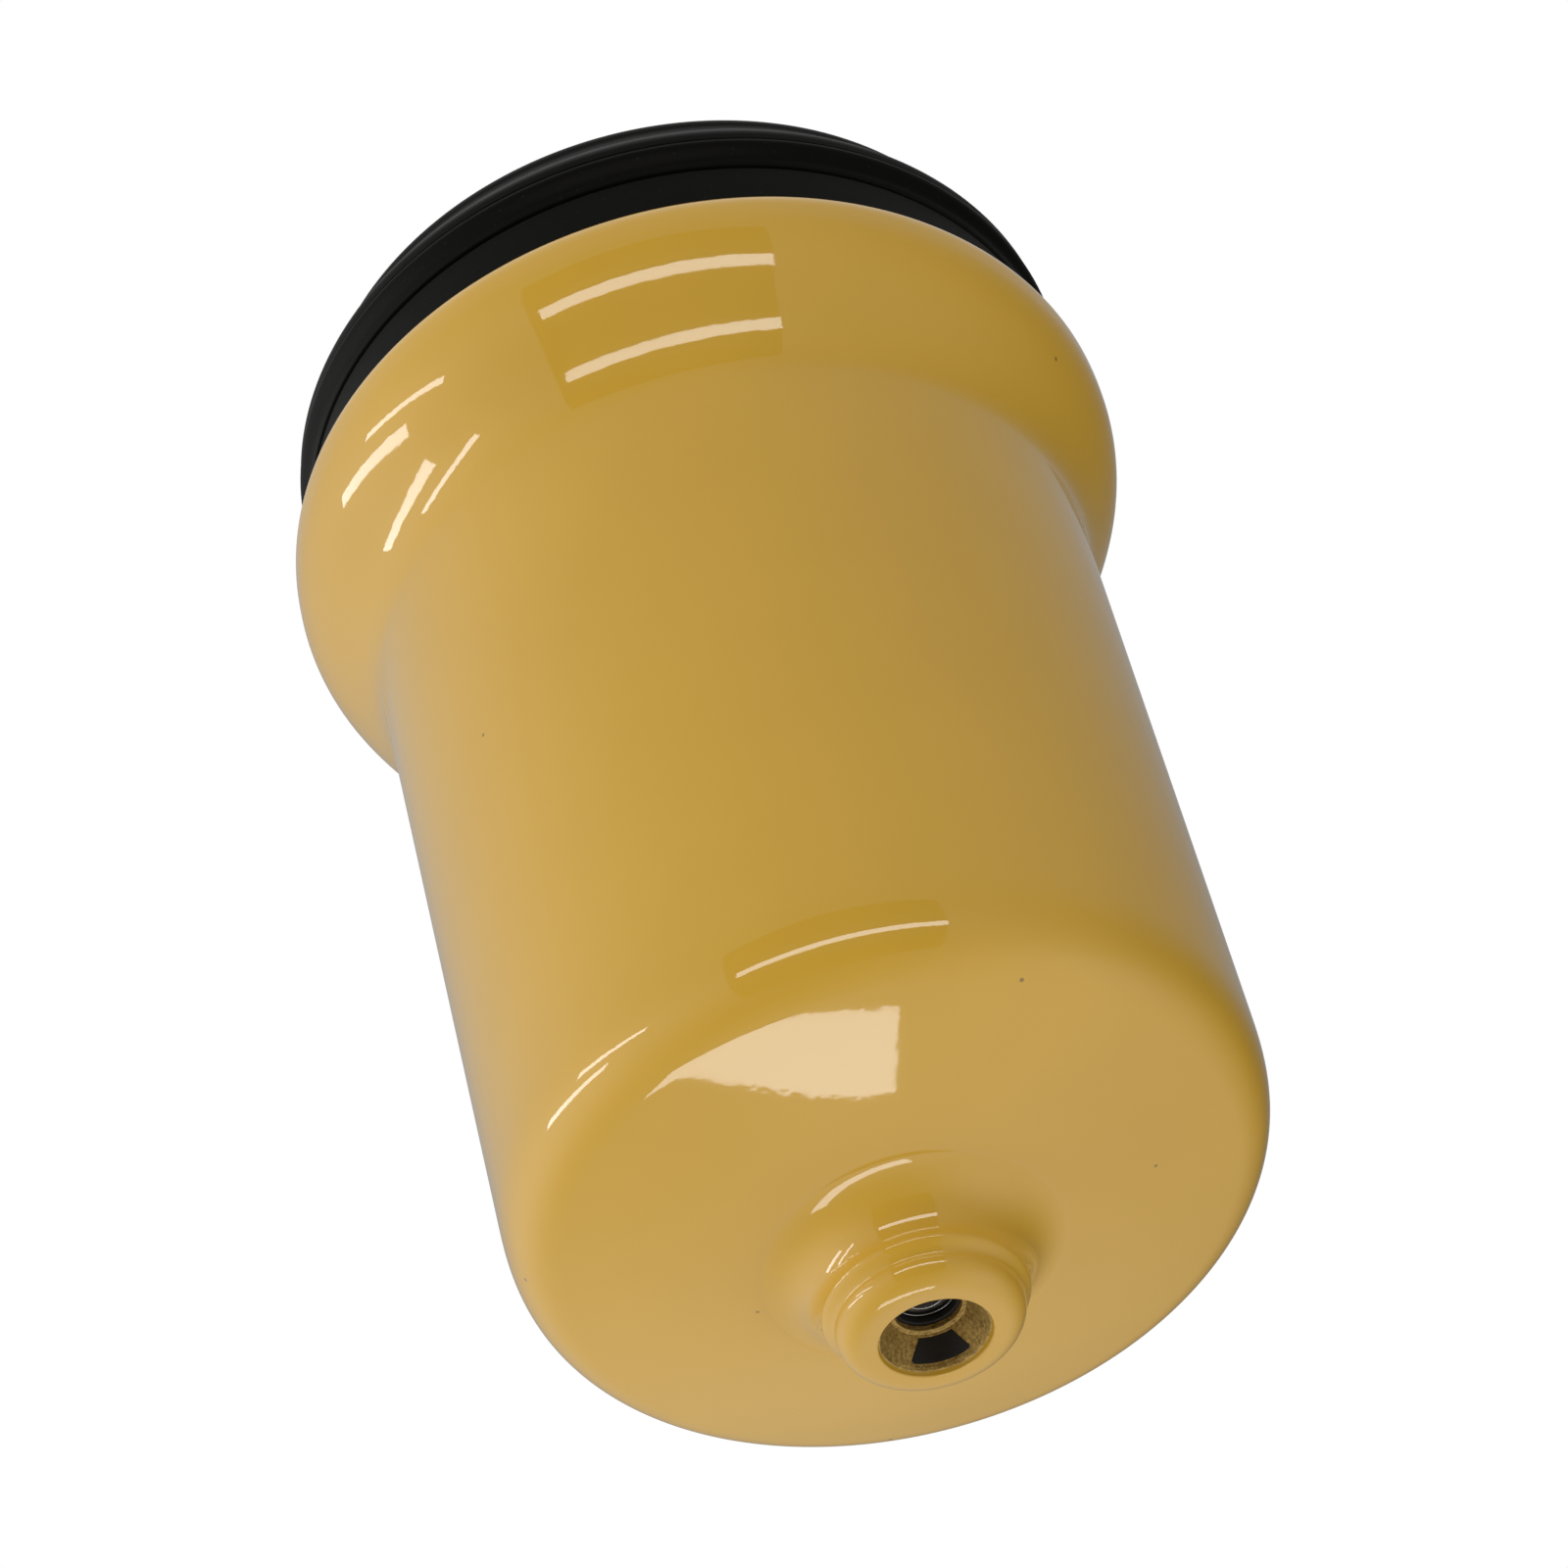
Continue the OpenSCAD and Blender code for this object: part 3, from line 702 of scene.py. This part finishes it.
# ---------------------------------------------------------------------------
# The grip ring. A band of soft black rubber moulded round the skirt, with the
# same satin grain; it flares out to the rim, where the fingers pull.
grip_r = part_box("grip_ring")[1].x
grip_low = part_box("grip_ring")[0].z - foot
grip_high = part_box("grip_ring")[1].z - foot
grip_bore_r = upstand_r + 0.05 * mm
grip_flare = smooth_step((skirt_r + 0.3 * mm, grip_low + 0.6 * mm), (grip_r, grip_high - 0.5 * mm), 18)
grip_foot = [(grip_bore_r, grip_high), (grip_bore_r, grip_low), (skirt_r, grip_low),
             (skirt_r + 0.2 * mm, grip_low + 0.15 * mm)]
grip_edge = [(grip_r - 0.1 * mm, grip_high - 0.12 * mm), (grip_r - 0.35 * mm, grip_high)]
grip = turned("grip_band", grip_foot + grip_flare + grip_edge, around=224)
grip.data.materials.append(black)
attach(grip, "lid")
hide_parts("grip_ring")


# ---------------------------------------------------------------------------
# The cover of the lid. A deep cap moulded in the same black plastic and snapped
# into the skirt; its flat top has a groove for the foot ring and a vent hole.
cover_low = 151.65 * mm
cover_top = 161 * mm
crown_r = 46 * mm
crown_round = 2.2 * mm
cover_wall = 2.6 * mm
rebate_r = 44.1 * mm
rebate_low = 148.25 * mm
groove_inner_r = 33.6 * mm
groove_outer_r = 38.4 * mm
groove_deep = 1 * mm
edge_ease = 0.15 * mm
cover_foot = [(rebate_r, rebate_low), (rebate_r, cover_low), (grip_r - 0.45 * mm, cover_low),
              (grip_r - 0.3 * mm, cover_low + edge_ease)]
cover_flank = smooth_step((grip_r - 0.3 * mm, cover_low + 0.8 * mm),
                          (crown_r, cover_top - crown_round), 24)
cover_shoulder = arc(crown_r - crown_round, cover_top - crown_round, crown_round, 0, 90, 16)
cover_groove = [(groove_outer_r + edge_ease, cover_top), (groove_outer_r, cover_top - edge_ease),
                (groove_outer_r, cover_top - groove_deep), (groove_inner_r, cover_top - groove_deep),
                (groove_inner_r, cover_top - edge_ease), (groove_inner_r - edge_ease, cover_top)]
cover_inside = [(0, cover_top), (0, cover_top - cover_wall), (36 * mm, cover_top - cover_wall),
                (42 * mm, cover_low + 2.4 * mm), (42.4 * mm, rebate_low)]
cover = turned("lid_dome", cover_foot + cover_flank[:-1] + cover_shoulder + cover_groove + cover_inside,
               around=224)
vent_at = (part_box("vent_disc")[0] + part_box("vent_disc")[1]) / 2
vent_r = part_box("vent_disc")[1].x - vent_at.x + 0.05 * mm
vent_turns = [2 * math.pi * i / 48 for i in range(48)]
vent_reach = 4 * mm
hole = [[(vent_at.x + vent_r * math.cos(a), vent_r * math.sin(a), vent_at.z + rise) for a in vent_turns]
        for rise in (-vent_reach, vent_reach)]
mill_away(cover, swept("vent_hole", hole))
cover.data.materials.clear()
cover.data.materials.append(black)
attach(cover, "lid")
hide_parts("lid_cover")


# ---------------------------------------------------------------------------
# The foot ring. A rubber ring pressed into the cover's groove, so that the can
# can stand on its lid when it is off its dock.
foot_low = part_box("foot_ring")[0].z - foot
foot_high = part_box("foot_ring")[1].z - foot
foot_inner_r = groove_inner_r + 0.1 * mm
foot_outer_r = groove_outer_r - 0.1 * mm
foot_slant = 0.7 * mm
foot_outline = rounded([(foot_inner_r, foot_low), (foot_outer_r, foot_low),
                        (foot_outer_r, foot_high - 0.5 * mm), (foot_outer_r - foot_slant, foot_high),
                        (foot_inner_r + foot_slant, foot_high), (foot_inner_r, foot_high - 0.5 * mm)],
                       0.25 * mm)
foot_ring = turned("stand_ring", foot_outline, around=160)
foot_ring.data.materials.append(black_rubber())
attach(foot_ring, "lid")
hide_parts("foot_ring")


# ---------------------------------------------------------------------------
# The studio. The can hangs by its collar above a plain pale floor that throws no
# light on it. Round it are a white backdrop, soft lights, a long box and a drape
# in front, two tubes to the left, and a panel low behind.
can_middle = Vector((0, 0, -0.05))


def towards(side_angle, height_angle):
    """The way from the can to side_angle, clockwise from +Y, and height_angle above level."""
    a = math.radians(side_angle)
    e = math.radians(height_angle)
    return Vector((math.sin(a) * math.cos(e), math.cos(a) * math.cos(e), math.sin(e)))


def lit_panel(name, middle, across, up, glow):
    """A soft box with its middle, its half width and its half height as vectors, facing the can.
    glow is the brightness of its face."""
    lamp = bpy.data.lights.new(name, "AREA")
    lamp.shape = "RECTANGLE"
    lamp.size = across.length * 2
    lamp.size_y = up.length * 2
    lamp.energy = glow * math.pi * lamp.size * lamp.size_y
    holder = bpy.data.objects.new(name, lamp)
    x = across.normalized()
    z = x.cross(up).normalized()
    if z.dot(middle - can_middle) < 0:
        x = -x
        z = -z
    holder.rotation_euler = Matrix((x, z.cross(x), z)).transposed().to_euler()
    holder.location = middle
    holder.visible_camera = False
    bpy.context.scene.collection.objects.link(holder)


def strip(name, start, end, breadth, distance, glow):
    """A straight lit strip between two ways (side angle, height angle); breadth in degrees."""
    one = towards(*start) * distance
    two = towards(*end) * distance
    middle = (one + two) / 2
    across = (two - one) / 2
    up = middle.cross(across).normalized() * math.tan(math.radians(breadth / 2)) * distance
    lit_panel(name, can_middle + middle, across, up, glow)


strip("front_box", (148, -1), (204, -1), 5.5, 1.2, 7)
strip("left_tube_upper", (231.5, 2), (257, 17), 2.5, 1.2, 9)
strip("left_tube_lower", (246, 0.5), (272, 13), 3.5, 1.2, 9)
lit_panel("floor_panel", Vector((-0.123, 0.13, -0.7)), Vector((-0.17, -0.044, 0)),
          Vector((-0.0135, 0.0525, 0)), 6)

drape_away = 2
drape_mesh = bpy.data.meshes.new("dark_drape")
drape_corners = [can_middle + towards(side, rise) * drape_away
                 for side, rise in ((148, -38), (207, -38), (207, 26), (148, 26))]
drape_mesh.from_pydata(drape_corners, [], [(0, 1, 2, 3)])
drape = bpy.data.objects.new("dark_drape", drape_mesh)
cloth = bpy.data.materials.new("dark_cloth")
cloth.use_nodes = True
cloth.node_tree.nodes["Principled BSDF"].inputs["Base Color"].default_value = (0.24, 0.13, 0.04, 1)
cloth.node_tree.nodes["Principled BSDF"].inputs["Roughness"].default_value = 1
drape_mesh.materials.append(cloth)
bpy.context.scene.collection.objects.link(drape)
drape.visible_camera = False
drape.visible_diffuse = False
drape.visible_shadow = False

floor_mesh = bmesh.new()
bmesh.ops.create_grid(floor_mesh, x_segments=1, y_segments=1, size=4)
floor_data = bpy.data.meshes.new("floor")
floor_mesh.to_mesh(floor_data)
floor_mesh.free()
floor = bpy.data.objects.new("floor", floor_data)
floor.location = (0, 0, -0.9)
floor.visible_glossy = False
floor.visible_diffuse = False
floor.visible_shadow = False
pale = bpy.data.materials.new("pale_floor")
pale.use_nodes = True
pale.node_tree.nodes["Principled BSDF"].inputs["Base Color"].default_value = (0.62, 0.61, 0.59, 1)
pale.node_tree.nodes["Principled BSDF"].inputs["Roughness"].default_value = 0.9
floor_data.materials.append(pale)
bpy.context.scene.collection.objects.link(floor)

world = bpy.data.worlds.new("pale_surround")
world.use_nodes = True
sky = world.node_tree
way = sky.nodes.new("ShaderNodeTexCoord")
surround = sky.nodes["Background"]
surround.inputs["Color"].default_value = (1, 1, 1, 1)
# Each soft light is (side angle, height angle, focus, glow); they add up.
soft_lights = [(0, 0, 4, 0.1), (135, 0, 4, 0.38), (180, 0, 4, 0.28), (225, 0, 4, 0.52),
               (270, 0, 4, 1.05), (315, 0, 4, 0.5), (0, 90, 3, 0.92), (0, -90, 4, 0.2),
               (0, -45, 5, 0.94), (90, -45, 5, 1.02), (270, -45, 5, 0.16)]
total = None
for side, rise, focus, glow in soft_lights:
    facing = sky.nodes.new("ShaderNodeVectorMath")
    facing.operation = "DOT_PRODUCT"
    facing.inputs[1].default_value = towards(side, rise)
    sky.links.new(way.outputs["Generated"], facing.inputs[0])
    lit_side = sky.nodes.new("ShaderNodeMath")
    lit_side.operation = "MAXIMUM"
    lit_side.inputs[1].default_value = 0
    sky.links.new(facing.outputs["Value"], lit_side.inputs[0])
    fall = sky.nodes.new("ShaderNodeMath")
    fall.operation = "POWER"
    fall.inputs[1].default_value = focus
    sky.links.new(lit_side.outputs["Value"], fall.inputs[0])
    share = sky.nodes.new("ShaderNodeMath")
    share.operation = "MULTIPLY_ADD"
    share.inputs[1].default_value = glow
    share.inputs[2].default_value = 0
    sky.links.new(fall.outputs["Value"], share.inputs[0])
    if total:
        sky.links.new(total, share.inputs[2])
    total = share.outputs["Value"]
sky.links.new(total, surround.inputs["Strength"])
backdrop = sky.nodes.new("ShaderNodeBackground")
backdrop.inputs["Color"].default_value = (1, 1, 1, 1)
ray = sky.nodes.new("ShaderNodeLightPath")
choose = sky.nodes.new("ShaderNodeMixShader")
sky.links.new(ray.outputs["Is Camera Ray"], choose.inputs[0])
sky.links.new(surround.outputs["Background"], choose.inputs[1])
sky.links.new(backdrop.outputs["Background"], choose.inputs[2])
sky.links.new(choose.outputs["Shader"], sky.nodes["World Output"].inputs["Surface"])
bpy.context.scene.world = world
bpy.context.scene.view_settings.view_transform = "Standard"
